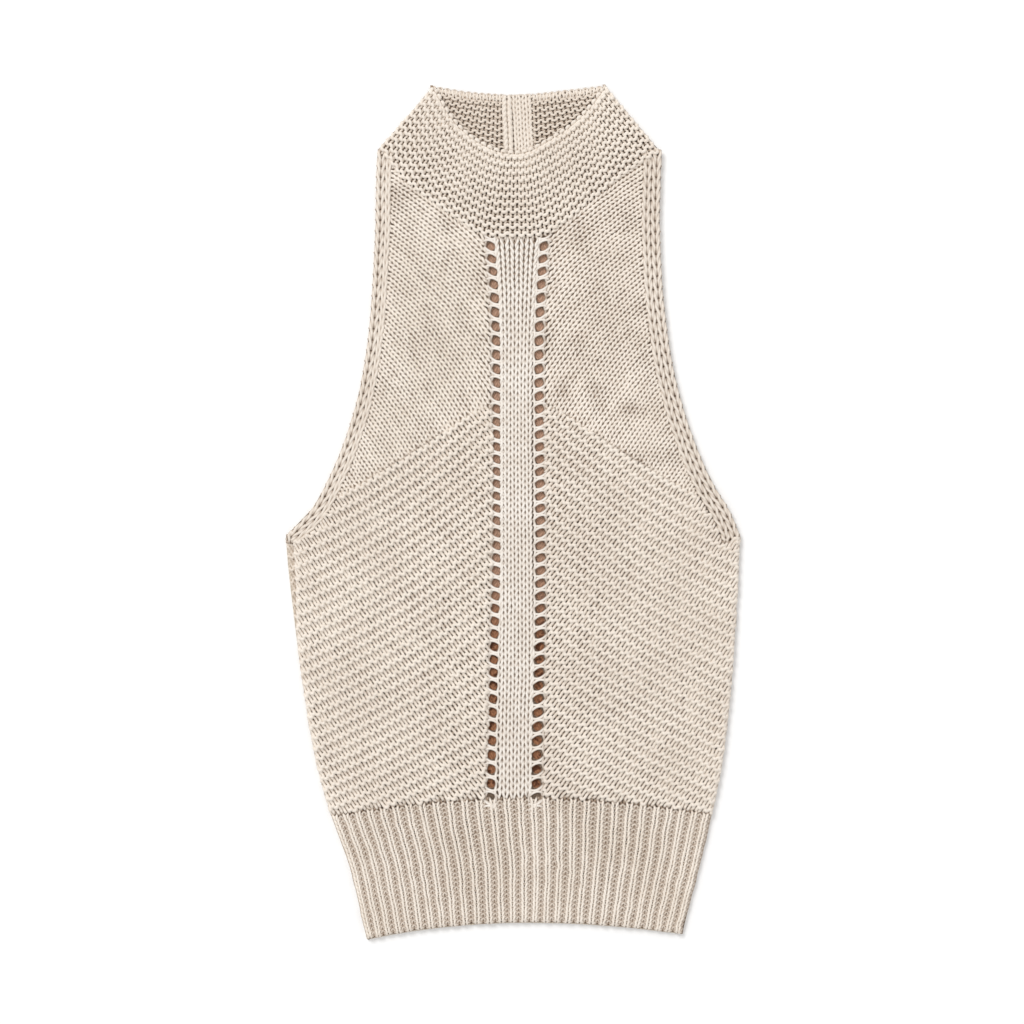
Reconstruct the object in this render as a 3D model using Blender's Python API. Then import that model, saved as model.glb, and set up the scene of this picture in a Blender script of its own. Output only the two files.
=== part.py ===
"""A halter knit top laid flat with its front up.

Two layers of knit lie on each other: a plain back on the floor, and over it a front made of
two stockinette yokes, two garter side panels, a centre panel with two ladders of eyelets, a
ribbed hem, armhole bands and a tall garter collar. Sizes are millimetres, heights are measured
from the lowest hem corner, and x runs from the wearer's centre line to the viewer's right.
"""
import math

import bmesh
import bpy

MM = 0.001
LENGTH = 616.0              # lowest hem corner to the collar's highest corner
SEAM_GAP = 0.3              # neighbouring pieces stay this far apart
WALL = 2.8                  # plain knit
FRONT_FLOOR = WALL + SEAM_GAP
GARTER_FURROW = 2.4         # garter wall between two ridges
GARTER_RISE = 1.5           # ridge over furrow
BACK_COLLAR_FURROW = 1.7
BACK_COLLAR_RISE = 1.1
BAND_WALL = 3.9             # front armhole bands are a thick chain
RIB_RECESS = 2.6
RIB_RISE = 2.2
EDGE_STEP = 17.0            # spacing of points along a long edge
PANEL_STEP = 30.0           # and along the centre panel's edges
CORNER_CLEAR = 2.0          # points of a seam this near a corner are left out
MITRE_LIMIT = 0.35          # keeps a sharp corner's inset short
SETTLE_STEPS = 8            # rounds in which a crossing of two curves settles
HALVINGS = 30

SIDES = {"left": -1, "right": 1}
COLUMN = {-1: 1, 1: 2}

BODY_EDGE = (
    # height, left, right
    (0.0, 105.5, 121.0),
    (29.0, 112.0, 128.5),
    (58.0, 119.5, 136.0),
    (90.0, 131.5, 143.5),
    (130.0, 142.5, 151.5),
    (188.0, 152.3, 158.0),
    (245.0, 159.6, 161.8),
    (274.0, 162.8, 163.2),
    (291.5, 164.0, 164.0),
)
ARMHOLE = (
    # height, left, right
    (291.5, 164.0, 164.0),
    (311.0, 144.8, 155.4),
    (332.0, 133.2, 142.6),
    (361.0, 121.0, 130.3),
    (389.5, 112.3, 121.0),
    (418.0, 106.6, 114.5),
    (447.0, 103.0, 110.2),
    (476.0, 101.0, 107.3),
    (515.0, 99.0, 105.8),
    (548.0, 98.5, 106.4),
    (575.0, 97.2, 107.6),
)
UNDERARM = 291.5
SIDE_END = 4.0              # a side's last point is this far below the underarm corner
FRONT_UNDERARM = {-1: 295.0, 1: 291.5}
BAND_WIDTH = {-1: 10.5, 1: 13.0}
# the front's left edge lies a little inside the back's, below the underarm
TUCK = 5.0
TUCK_START = 205.0
TUCK_SPAN = 70.0

HEM_CENTRE = 9.0            # the hem's arch is highest here
HEM_ARCH = {-1: 12.2, 1: 8.4}
HEM_TOP = 12.2
HEM_REACH = 114.5           # from the arch's top to either corner
RIB_TOP = 103.3
RIB_TOP_BOW = 0.00065       # the rib's upper seam falls by this times its distance squared
RIBS = 29
RIB_PROFILE = ((0.0, 0.0), (0.16, 1.0), (0.56, 1.0), (0.72, 0.0))   # share of a rib, rise
RIB_ROWS = 3

EYELETS = (
    # height, left ladder, right ladder
    (103.0, 16.0, 16.4),
    (170.0, 14.4, 18.2),
    (230.0, 13.0, 19.6),
    (280.0, 11.6, 19.8),
    (380.0, 11.5, 19.0),
    (430.0, 11.8, 18.7),
    (470.0, 13.5, 20.2),
    (512.0, 17.0, 23.0),
)
EYELET_ROWS = (
    # number from the top, height
    (0, 500.4),
    (3, 473.0),
    (11, 392.4),
    (24, 275.8),
    (35, 174.2),
    (41, 113.0),
    (54, -20.0),
)
EYELET_COUNT = 42
EYELET_WIDTH = 6.3
EYELET_HEIGHT = 6.1
EYELET_SIDES = 8
LADDER_HALF = 5.5           # half the width of a ladder of eyelets

YOKE_HEM = 387.0            # stockinette meets garter here beside the centre panel
YOKE_SLOPE = 0.625
COURSE_SLOPE = 0.78         # courses fall away from the centre panel
COURSE_BOW = 0.00095
GARTER_COLUMNS = 8
GARTER_REACH = 168.0
GARTER_LAP = 8.0            # ridges start this far inside the centre panel, and are trimmed
TRIM_DEPTH = 2.0            # untrimmed garter reaches this far below the front's floor
TRIM_HEIGHT = 12.0
FIRST_RIDGE = 9             # counted like the eyelets, one ridge to each eyelet

COLLAR_FAN = (
    # share across, neck x, neck height, seam x, seam height
    (0.0, -57.6, 615.6, -97.2, 571.0),
    (0.125, -47.2, 596.9, -78.5, 547.1),
    (0.25, -33.6, 581.3, -53.9, 528.4),
    (0.375, -16.3, 571.0, -28.6, 511.0),
    (0.4375, -6.6, 568.0, -14.0, 506.6),
    (0.5, 3.5, 567.3, 3.0, 506.2),
    (0.5625, 12.8, 569.6, 18.0, 506.8),
    (0.625, 21.9, 574.3, 32.5, 513.1),
    (0.75, 39.0, 585.1, 56.3, 532.4),
    (0.875, 54.2, 598.9, 80.6, 551.4),
    (1.0, 67.0, 616.0, 107.3, 568.0),
)
BACK_FAN = {
    "left": (
        (0.0, -57.6, 615.6, -97.2, 571.0),
        (0.5, -32.0, 611.4, -52.0, 552.5),
        (1.0, -8.2, 609.6, -8.2, 542.0),
    ),
    "right": (
        (0.0, 13.8, 609.8, 13.8, 542.0),
        (0.5, 40.0, 612.8, 60.0, 552.5),
        (1.0, 67.0, 616.0, 107.3, 568.0),
    ),
}
COLLAR_COLUMNS = 22
COLLAR_RIDGES = 11
BACK_COLLAR_COLUMNS = 8
BACK_COLLAR_RIDGES = 9
OPENING_SLIT = 0.0          # x of the slit between the two bands of the back opening

YARN_ROUGHNESS = 0.9
YARN = {
    "light": (0.83, 0.75, 0.64),
    "plain": (0.78, 0.69, 0.58),
    "shaded": (0.66, 0.55, 0.44),
}


def slope_at(rows, i, column):
    """Slope of a smooth curve through a table's rows, at one row."""
    a = rows[max(i - 1, 0)]
    b = rows[min(i + 1, len(rows) - 1)]
    return (b[column] - a[column]) / (b[0] - a[0])


def on_curve(rows, at, column):
    """A column's value on a smooth curve through the rows, at a place along the first column."""
    i = 0
    while i < len(rows) - 2 and at > rows[i + 1][0]:
        i += 1
    a, b = rows[i], rows[i + 1]
    span = b[0] - a[0]
    u = (at - a[0]) / span
    rise_a = slope_at(rows, i, column) * span
    rise_b = slope_at(rows, i + 1, column) * span
    step = b[column] - a[column]
    bend = 3 * step - 2 * rise_a - rise_b
    twist = rise_a + rise_b - 2 * step
    return a[column] + u * (rise_a + u * (bend + u * twist))


def spaced(start, end, step=EDGE_STEP):
    """Even places from start to end, about a step apart."""
    count = max(1, round(abs(end - start) / step))
    return [start + (end - start) * i / count for i in range(count + 1)]


def crossing(path, inside):
    """The part of a path that lies inside, ended on the border by halving the last step."""
    kept = [path[0]]
    for point in path[1:]:
        if inside(*point):
            kept.append(point)
            continue
        good, bad = kept[-1], point
        for _ in range(HALVINGS):
            middle = ((good[0] + bad[0]) / 2, (good[1] + bad[1]) / 2)
            if inside(*middle):
                good = middle
            else:
                bad = middle
        kept.append(good)
        break
    return kept


def side_edge(side, height, tucked):
    """Edge of the body at a height, from the hem to the underarm."""
    x = side * on_curve(BODY_EDGE, height, COLUMN[side])
    if tucked and side < 0:
        share = min(1.0, max(0.0, (height - TUCK_START) / TUCK_SPAN))
        x += TUCK * share * share * (3 - 2 * share)
    return x


def hem(x):
    """Height of the hem's lower edge at x."""
    arch = HEM_ARCH[-1 if x < HEM_CENTRE else 1]
    return HEM_TOP - arch * ((x - HEM_CENTRE) / HEM_REACH) ** 2


def rib_top(x):
    """Height of the rib's upper seam at x."""
    return RIB_TOP - RIB_TOP_BOW * (x - HEM_CENTRE) ** 2


def rib_corner(side, tucked):
    """Height at which the rib's upper seam meets the side of the body."""
    height = RIB_TOP
    for _ in range(SETTLE_STEPS):
        height = rib_top(side_edge(side, height, tucked))
    return height


def rib_seam(start, end):
    """Points along the rib's upper seam, from one x to another."""
    return [(x, rib_top(x)) for x in spaced(start, end)]


def ladder(side, height):
    """Centre of one ladder of eyelets."""
    return side * on_curve(EYELETS, height, COLUMN[side])


def panel_edge(side, height):
    """Outer edge of the centre panel."""
    return ladder(side, height) + side * LADDER_HALF


def yoke_hem(side, x):
    """Height at which a yoke's stockinette ends and the garter panel begins."""
    return YOKE_HEM - YOKE_SLOPE * abs(x - panel_edge(side, YOKE_HEM))


def armhole(side, start):
    """Outer edge of an armhole, from the underarm to the shoulder corner."""
    top = COLLAR_FAN[0][4] if side < 0 else COLLAR_FAN[-1][4]
    return [(side * on_curve(ARMHOLE, h, COLUMN[side]), h) for h in spaced(start, top)]


def band_inner(side, start):
    """Inner edge of an armhole band, moved square from the armhole's edge."""
    outer = armhole(side, start)
    inner = []
    for i, (x, h) in enumerate(outer):
        ax, ah = outer[max(i - 1, 0)]
        bx, bh = outer[min(i + 1, len(outer) - 1)]
        run = math.hypot(bx - ax, bh - ah)
        width = BAND_WIDTH[side]
        inner.append((x - side * width * (bh - ah) / run, h + side * width * (bx - ax) / run))
    return inner


def fan_point(fan, share, down):
    """A place on a collar: share across it, and share down from the neck to the seam."""
    neck = (on_curve(fan, share, 1), on_curve(fan, share, 2))
    seam = (on_curve(fan, share, 3), on_curve(fan, share, 4))
    return (neck[0] + (seam[0] - neck[0]) * down, neck[1] + (seam[1] - neck[1]) * down)


def seam_path(fan, steps):
    """Points along a collar's seam, from left to right."""
    return [fan_point(fan, i / steps, 1.0) for i in range(steps + 1)]


def seam_height(path, x):
    """Height of a collar's seam at x, along the path from left to right."""
    for (ax, ah), (bx, bh) in zip(path, path[1:]):
        if x <= bx:
            return ah + (bh - ah) * (x - ax) / (bx - ax)
    return path[-1][1]


FRONT_SEAM = seam_path(COLLAR_FAN, COLLAR_COLUMNS)
BACK_SEAM = (seam_path(BACK_FAN["left"], BACK_COLLAR_COLUMNS)
             + seam_path(BACK_FAN["right"], BACK_COLLAR_COLUMNS))


def inset(loop, distance):
    """A closed outline moved inwards, so that two outlines that share an edge lie apart."""
    area = sum(a[0] * b[1] - b[0] * a[1] for a, b in zip(loop, loop[1:] + loop[:1]))
    turn = 1 if area > 0 else -1
    moved = []
    for i, point in enumerate(loop):
        normals = []
        for a, b in ((loop[i - 1], point), (point, loop[(i + 1) % len(loop)])):
            run = math.hypot(b[0] - a[0], b[1] - a[1])
            normals.append((-turn * (b[1] - a[1]) / run, turn * (b[0] - a[0]) / run))
        (px, py), (qx, qy) = normals
        share = distance / max(MITRE_LIMIT, 1 + px * qx + py * qy)
        moved.append((point[0] + share * (px + qx), point[1] + share * (py + qy)))
    return moved


def place(x, height, z):
    """A point of the garment in metres, about the middle of its outline."""
    return (x * MM, (height - LENGTH / 2) * MM, z * MM)


def knit_material(name, tone):
    """Plain matt colour of one piece's yarn."""
    material = bpy.data.materials.new(name)
    material.use_nodes = True
    shader = material.node_tree.nodes["Principled BSDF"]
    shader.inputs["Base Color"].default_value = (*YARN[tone], 1.0)
    shader.inputs["Roughness"].default_value = YARN_ROUGHNESS
    shader.inputs["Metallic"].default_value = 0.0
    material.diffuse_color = (*YARN[tone], 1.0)
    return material


def add_piece(name, mesh, tone):
    """Put a finished bmesh into the scene as one named piece."""
    bmesh.ops.recalc_face_normals(mesh, faces=mesh.faces)
    data = bpy.data.meshes.new(name)
    mesh.to_mesh(data)
    mesh.free()
    data.materials.append(knit_material(name, tone))
    piece = bpy.data.objects.new(name, data)
    bpy.context.collection.objects.link(piece)
    return piece


def plate(name, outline, low, high, tone, gap=SEAM_GAP / 2):
    """A plain wall of knit over an outline."""
    mesh = bmesh.new()
    floor = [mesh.verts.new(place(x, h, low)) for x, h in inset(outline, gap)]
    face = mesh.faces.new(floor)
    raised = bmesh.ops.extrude_face_region(mesh, geom=[face])
    top = [v for v in raised["geom"] if isinstance(v, bmesh.types.BMVert)]
    bmesh.ops.translate(mesh, verts=top, vec=(0, 0, (high - low) * MM))
    return add_piece(name, mesh, tone)


def relief_sheet(mesh, grid, low):
    """Close a grid of raised points over a plain flat inside."""
    rows, columns = len(grid), len(grid[0])
    for r in range(rows - 1):
        for c in range(columns - 1):
            mesh.faces.new((grid[r][c], grid[r][c + 1], grid[r + 1][c + 1], grid[r + 1][c]))
    rim = (grid[0] + [row[-1] for row in grid[1:]] + grid[-1][-2::-1]
           + [row[0] for row in grid[-2:0:-1]])
    floor = [mesh.verts.new((v.co.x, v.co.y, low * MM)) for v in rim]
    for i, v in enumerate(rim):
        j = (i + 1) % len(rim)
        mesh.faces.new((v, floor[i], floor[j], rim[j]))
    mesh.faces.new(floor)


def relief_plate(name, rows, low, tone):
    """A wall whose outer points are raised: rows of (x, height, z), 0.3 mm from its neighbours."""
    columns = len(rows[0])
    ring = ([(0, c) for c in range(columns)] + [(r, columns - 1) for r in range(1, len(rows))]
            + [(len(rows) - 1, c) for c in range(columns - 2, -1, -1)]
            + [(r, 0) for r in range(len(rows) - 2, 0, -1)])
    moved = inset([rows[r][c][:2] for r, c in ring], SEAM_GAP / 2)
    edge = dict(zip(ring, moved))
    mesh = bmesh.new()
    grid = []
    for r, row in enumerate(rows):
        line = []
        for c, (x, h, z) in enumerate(row):
            x, h = edge.get((r, c), (x, h))
            line.append(mesh.verts.new(place(x, h, z)))
        grid.append(line)
    relief_sheet(mesh, grid, low)
    return add_piece(name, mesh, tone)


def hem_rib(name, low):
    """The front hem: one raised chain and one recess to each rib, fanned between its edges."""
    profile = [((i + share) / RIBS, rise) for i in range(RIBS) for share, rise in RIB_PROFILE]
    profile.append((1.0, 0.0))
    middle_left, middle_right = (side_edge(side, RIB_TOP / 2, False) for side in (-1, 1))
    rows = []
    for r in range(RIB_ROWS + 1):
        up = r / RIB_ROWS
        row = []
        for share, rise in profile:
            guess = middle_left + (middle_right - middle_left) * share
            for _ in range(SETTLE_STEPS):
                height = hem(guess) + (rib_top(guess) - hem(guess)) * up
                left = side_edge(-1, max(height, 0.0), False)
                right = side_edge(1, max(height, 0.0), False)
                guess = left + (right - left) * share
            row.append((guess, height, low + RIB_RECESS + RIB_RISE * rise))
        rows.append(row)
    return relief_plate(name, rows, low, "light")


def collar_sheet(name, fan, columns, ridges, low, furrow, rise, tone):
    """A collar piece in garter: ridges run across it, from the neck edge down to the seam."""
    rows = []
    for r in range(2 * ridges + 1):
        down = r / (2 * ridges)
        z = low + furrow + (rise if r % 2 == 0 else 0.0)
        rows.append([(*fan_point(fan, c / columns, down), z) for c in range(columns + 1)])
    return relief_plate(name, rows, low, tone)


def course_fall(distance):
    """How far a course has dropped at a distance from the centre panel."""
    return COURSE_SLOPE * distance - COURSE_BOW * distance ** 2


def garter_panel(name, side):
    """A garter side panel: ridges along the sloping courses, trimmed to the panel's outline."""
    inner = panel_edge(side, YOKE_HEM)
    last = EYELET_ROWS[-1][0]
    rows = []
    for half_row in range(2 * FIRST_RIDGE, 2 * last + 1):
        top = on_curve(EYELET_ROWS, half_row / 2, 1)
        z = FRONT_FLOOR + GARTER_FURROW + (GARTER_RISE if half_row % 2 else 0.0)
        row = []
        for c in range(GARTER_COLUMNS + 1):
            out = -GARTER_LAP + (GARTER_REACH + GARTER_LAP) * c / GARTER_COLUMNS
            row.append((inner + side * out, top - course_fall(out), z))
        rows.append(row)
    mesh = bmesh.new()
    grid = [[mesh.verts.new(place(*point)) for point in row] for row in rows]
    relief_sheet(mesh, grid, FRONT_FLOOR - TRIM_DEPTH)
    panel = add_piece(name, mesh, "plain")
    trim = plate(name + "_trim", garter_outline(side), FRONT_FLOOR, FRONT_FLOOR + TRIM_HEIGHT,
                 "plain")
    trim.hide_render = True
    trim.display_type = "WIRE"
    cut = panel.modifiers.new("outline", "BOOLEAN")
    cut.operation = "INTERSECT"
    cut.object = trim
    return panel


def garter_outline(side):
    """Outline of a garter side panel."""
    start = FRONT_UNDERARM[side]
    bottom = rib_corner(side, True)
    corner = panel_edge(side, RIB_TOP)
    along_panel = [(panel_edge(side, h), h)
                   for h in spaced(YOKE_HEM, rib_top(corner), PANEL_STEP)]
    along_rib = rib_seam(corner, side_edge(side, bottom, True))
    along_side = [(side_edge(side, h, True), h) for h in spaced(bottom, start - SIDE_END)]
    along_band = crossing(band_inner(side, start), lambda x, h: h < yoke_hem(side, x))
    return (along_panel + along_rib[1:] + along_side[1:] + armhole(side, start)[:1] + along_band)


def yoke_outline(side):
    """Outline of a stockinette yoke."""
    top_x = panel_edge(side, FRONT_SEAM[COLLAR_COLUMNS // 2][1])
    top = seam_height(FRONT_SEAM, top_x)
    along_panel = [(panel_edge(side, h), h) for h in spaced(top, YOKE_HEM, PANEL_STEP)]
    inner = band_inner(side, FRONT_UNDERARM[side])
    low = crossing(inner, lambda x, h: h < yoke_hem(side, x))
    high = crossing(inner, lambda x, h: h < seam_height(FRONT_SEAM, x))
    nook = high[-1]
    near, far = side * top_x + CORNER_CLEAR, side * nook[0] - CORNER_CLEAR
    seam = [p for p in FRONT_SEAM if near < side * p[0] < far]
    seam.sort(key=lambda p: -side * p[0])
    return along_panel + [low[-1]] + high[len(low) - 1:] + seam


def band_outline(side, start, seam):
    """Outline of an armhole band, from the underarm to the collar's seam."""
    outer = armhole(side, start)
    inner = crossing(band_inner(side, start), lambda x, h: h < seam_height(seam, x))
    return outer + inner[::-1]


def back_outline():
    """Outline of the back: sides, inner edges of the bands and the collar's seam."""
    loop = []
    for side in (-1, 1):
        bottom = rib_corner(side, False)
        edge = [(side_edge(side, h, False), h) for h in spaced(bottom, UNDERARM - SIDE_END)]
        inner = crossing(band_inner(side, UNDERARM), lambda x, h: h < seam_height(BACK_SEAM, x))
        part = edge + armhole(side, UNDERARM)[:1] + inner
        loop += part if side < 0 else part[::-1]
        if side < 0:
            nook = inner[-1][0]
            right = crossing(band_inner(1, UNDERARM), lambda x, h: h < seam_height(BACK_SEAM, x))
            near, far = nook + CORNER_CLEAR, right[-1][0] - CORNER_CLEAR
            loop += [p for p in BACK_SEAM if near < p[0] < far]
    return loop + rib_seam(loop[-1][0], loop[0][0])[1:-1]


def hem_outline():
    """Outline of the back's ribbed hem."""
    left = [(side_edge(-1, h, False), h) for h in spaced(0.0, rib_corner(-1, False))]
    corner = BODY_EDGE[0][COLUMN[1]]
    right = [(side_edge(1, h, False), h) for h in spaced(rib_corner(1, False), hem(corner))]
    bottom = [(x, hem(x)) for x in spaced(right[-1][0], left[0][0])]
    return left + rib_seam(left[-1][0], right[0][0])[1:-1] + right + bottom[1:-1]


def opening_band(name, start, end, seam_heights):
    """One band of the back opening, a short strip down from the neck edge."""
    (top_start, top_end), (low_start, low_end) = seam_heights
    rows = [(start, top_start), (end, top_end), (end, low_end), (start, low_start)]
    return plate(name, rows, 0.0, WALL, "light")


def eyelet_ring(mesh, x, height, z):
    """The points round one eyelet."""
    ring = []
    for k in range(EYELET_SIDES):
        angle = 2 * math.pi * (k + 0.5) / EYELET_SIDES
        swell = 1 / math.cos(math.pi / EYELET_SIDES)
        ring.append(mesh.verts.new(place(x + EYELET_WIDTH / 2 * swell * math.cos(angle),
                                         height + EYELET_HEIGHT / 2 * swell * math.sin(angle), z)))
    return ring


def panel_lines(mesh, heights, z):
    """Points across the centre panel: at its top, between the eyelets and at its foot."""
    splits = [(a + b) / 2 for a, b in zip(heights, heights[1:])]
    lines = []
    for h in [heights[0] + EYELET_HEIGHT] + splits + [heights[-1] - EYELET_HEIGHT]:
        half = LADDER_HALF
        edges = (ladder(-1, h) - half + SEAM_GAP / 2, ladder(-1, h) + half,
                 ladder(1, h) - half, ladder(1, h) + half - SEAM_GAP / 2)
        lines.append([(x, h) for x in edges])
    lines[0] = [(x, seam_height(FRONT_SEAM, x) - SEAM_GAP / 2) for x, _ in lines[0]]
    lines[-1] = [(x, rib_top(x) + SEAM_GAP / 2) for x, _ in lines[-1]]
    return [[mesh.verts.new(place(x, h, z)) for x, h in line] for line in lines]


def along_seam(mesh, line, z):
    """The collar seam's own points between the ones of the panel's top line."""
    fill = []
    for a, b in zip(line, line[1:]):
        between = [p for p in FRONT_SEAM if a.co.x + MM < p[0] * MM < b.co.x - MM]
        fill.append([mesh.verts.new(place(x, h - SEAM_GAP / 2, z)) for x, h in between])
    return fill


def centre_panel(name, low, high):
    """The centre panel: a plain strip between two ladders of eyelets, cut right through."""
    heights = [on_curve(EYELET_ROWS, n, 1) for n in range(EYELET_COUNT)]
    mesh = bmesh.new()
    levels, fills, rings = [], [], []
    for z in (low, high):
        lines = panel_lines(mesh, heights, z)
        fill = along_seam(mesh, lines[0], z)
        for r, height in enumerate(heights):
            above, below = lines[r], lines[r + 1]
            extra = fill if r == 0 else ([], [], [])
            mesh.faces.new((above[1], *extra[1], above[2], below[2], below[1]))
            for side, left in ((-1, 0), (1, 2)):
                ring = eyelet_ring(mesh, ladder(side, height), height, z)
                corners = (above[left + 1], above[left], below[left], below[left + 1])
                for k, corner in enumerate(corners):
                    a, b = ring[2 * k], ring[2 * k + 1]
                    over = extra[left] if k == 0 else []
                    mesh.faces.new((corner, a, b))
                    mesh.faces.new((corner, b, ring[(2 * k + 2) % EYELET_SIDES],
                                    corners[(k + 1) % 4], *over))
                rings.append(ring)
        levels.append(lines)
        fills.append(fill)
    walls = [([line[0] for line in levels[0]], [line[0] for line in levels[1]]),
             ([line[3] for line in levels[0]], [line[3] for line in levels[1]]),
             (levels[0][-1], levels[1][-1])]
    top = [[line[0], *fill[0], line[1], *fill[1], line[2], *fill[2], line[3]]
           for line, fill in ((levels[0][0], fills[0]), (levels[1][0], fills[1]))]
    walls.append((top[0], top[1]))
    half = len(rings) // 2
    walls += [(under + under[:1], over + over[:1]) for under, over in zip(rings[:half], rings[half:])]
    for under, over in walls:
        for i in range(len(under) - 1):
            mesh.faces.new((under[i], under[i + 1], over[i + 1], over[i]))
    return add_piece(name, mesh, "light")


for old in list(bpy.data.objects):
    bpy.data.objects.remove(old, do_unlink=True)

# the back layer, flat on the floor
plate("back_panel", back_outline(), 0.0, WALL, "shaded")
plate("back_hem_rib", hem_outline(), 0.0, WALL, "plain")
for word, side in SIDES.items():
    plate("back_armhole_band_" + word, band_outline(side, UNDERARM, BACK_SEAM), 0.0, WALL,
          "plain")
    collar_sheet("collar_back_" + word, BACK_FAN[word], BACK_COLLAR_COLUMNS, BACK_COLLAR_RIDGES,
                 0.0, BACK_COLLAR_FURROW, BACK_COLLAR_RISE, "shaded")
neck_left, seam_left = BACK_FAN["left"][-1][1:3], BACK_FAN["left"][-1][3:5]
neck_right, seam_right = BACK_FAN["right"][0][1:3], BACK_FAN["right"][0][3:5]
opening_band("opening_band_left", neck_left[0], OPENING_SLIT,
             ((neck_left[1], neck_left[1]), (seam_left[1], seam_left[1])))
opening_band("opening_band_right", OPENING_SLIT, neck_right[0],
             ((neck_right[1], neck_right[1]), (seam_right[1], seam_right[1])))

# the front layer, on the back
for word, side in SIDES.items():
    garter_panel("front_garter_" + word, side)
    plate("front_yoke_" + word, yoke_outline(side), FRONT_FLOOR, FRONT_FLOOR + WALL, "plain")
    plate("front_armhole_band_" + word, band_outline(side, FRONT_UNDERARM[side], FRONT_SEAM),
          FRONT_FLOOR, FRONT_FLOOR + BAND_WALL, "light")
centre_panel("front_centre_panel", FRONT_FLOOR, FRONT_FLOOR + WALL)
hem_rib("front_hem_rib", FRONT_FLOOR)
collar_sheet("collar_front", COLLAR_FAN, COLLAR_COLUMNS, COLLAR_RIDGES,
             FRONT_FLOOR, GARTER_FURROW, GARTER_RISE, "plain")
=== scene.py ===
import math

import bmesh
import bpy
import numpy as np
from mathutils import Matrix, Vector


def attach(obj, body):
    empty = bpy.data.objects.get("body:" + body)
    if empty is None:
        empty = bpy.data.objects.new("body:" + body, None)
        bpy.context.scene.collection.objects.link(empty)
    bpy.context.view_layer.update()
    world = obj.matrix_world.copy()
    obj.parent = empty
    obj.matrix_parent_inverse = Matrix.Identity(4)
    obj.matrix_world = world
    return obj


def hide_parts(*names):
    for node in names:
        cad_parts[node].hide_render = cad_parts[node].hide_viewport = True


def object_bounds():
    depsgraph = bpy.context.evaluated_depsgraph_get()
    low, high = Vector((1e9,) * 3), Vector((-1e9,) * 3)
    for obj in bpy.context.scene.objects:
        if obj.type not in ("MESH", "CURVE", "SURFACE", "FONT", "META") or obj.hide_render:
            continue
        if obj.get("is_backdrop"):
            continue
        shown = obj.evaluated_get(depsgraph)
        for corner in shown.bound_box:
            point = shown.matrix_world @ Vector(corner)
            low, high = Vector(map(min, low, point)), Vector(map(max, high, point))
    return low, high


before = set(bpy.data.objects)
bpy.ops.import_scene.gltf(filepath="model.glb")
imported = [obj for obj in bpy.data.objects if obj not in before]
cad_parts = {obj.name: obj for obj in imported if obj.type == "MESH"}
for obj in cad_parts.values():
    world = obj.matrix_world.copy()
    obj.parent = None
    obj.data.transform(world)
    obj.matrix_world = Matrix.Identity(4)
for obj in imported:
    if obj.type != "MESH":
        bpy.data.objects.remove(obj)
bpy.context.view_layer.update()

# The cloth under the yarn. Each knitted piece is a thin sheet on the form of its solid, and the
# raised yarn of its stitches lies on that sheet. The whole top is one cotton yarn, so what is set
# here for the back panel, the way a sheet is cut and its finish, is used by every piece after it.
MM = 0.001
MIDDLE = 308.0              # height of the frame's origin above the lowest hem corner


class Finish:
    """A material under construction. Its patterns are written as sums of Signal values."""

    def __init__(self, name):
        self.material = bpy.data.materials.new(name)
        self.material.use_nodes = True
        self.tree = self.material.node_tree
        self.shader = self.tree.nodes["Principled BSDF"]

    def node(self, kind, settings=None, **inputs):
        made = self.tree.nodes.new(kind)
        for key, value in (settings or {}).items():
            if key == "stops":
                ramp = made.color_ramp
                while len(ramp.elements) < len(value):
                    ramp.elements.new(0.5)
                for stop, (place, colour) in zip(ramp.elements, value):
                    stop.position = place
                    stop.color = colour
            else:
                setattr(made, key, value)
        for key, value in inputs.items():
            key = int(key[1:]) if key[0] == "_" and key[1:].isdigit() else key.replace("_", " ")
            self.join(made.inputs[key], value)
        return made

    def join(self, socket, value):
        if isinstance(value, Signal):
            self.tree.links.new(value.socket, socket)
        elif isinstance(value, bpy.types.NodeSocket):
            self.tree.links.new(value, socket)
        else:
            socket.default_value = value

    def signal(self, node, output=0):
        return Signal(self, node.outputs[output])

    def noise(self, at, scale, detail=2.0, rough=0.5):
        made = self.node("ShaderNodeTexNoise", None, Vector=at, Scale=scale, Detail=detail,
                         Roughness=rough)
        return self.signal(made, "Fac")

    def mix(self, share, a, b):
        made = self.node("ShaderNodeMix", {"data_type": "RGBA"}, _0=share, _6=a, _7=b)
        return self.signal(made, 2)

    def tint(self, colour, by):
        """A colour made lighter or darker by a value."""
        made = self.node("ShaderNodeVectorMath", {"operation": "SCALE"}, _0=colour, _3=by)
        return self.signal(made, 0)


class Signal:
    """One value inside a finish, which Python's own operators work on."""

    def __init__(self, finish, socket):
        self.finish, self.socket = finish, socket

    def maths(self, operation, *others, flip=False):
        values = [self, *others]
        if flip:
            values.reverse()
        keys = {f"_{i}": value for i, value in enumerate(values)}
        made = self.finish.node("ShaderNodeMath", {"operation": operation}, **keys)
        return Signal(self.finish, made.outputs[0])

    def __add__(self, other):
        return self.maths("ADD", other)

    def __sub__(self, other):
        return self.maths("SUBTRACT", other)

    def __rsub__(self, other):
        return self.maths("SUBTRACT", other, flip=True)

    def __mul__(self, other):
        return self.maths("MULTIPLY", other)

    def __truediv__(self, other):
        return self.maths("DIVIDE", other)

    def __abs__(self):
        return self.maths("ABSOLUTE")

    def fract(self):
        return self.maths("FRACT")

    def clear(self, low, high):
        made = self.finish.node("ShaderNodeMapRange", {"interpolation_type": "SMOOTHSTEP"},
                                Value=self, From_Min=low, From_Max=high)
        return self.finish.signal(made, 0)

    __radd__, __rmul__ = __add__, __mul__


def place_of(finish):
    """Object coordinates as three values, in metres."""
    where = finish.node("ShaderNodeTexCoord").outputs["Object"]
    parts = finish.node("ShaderNodeSeparateXYZ", None, Vector=where)
    return where, finish.signal(parts, 0), finish.signal(parts, 1), finish.signal(parts, 2)


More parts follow.
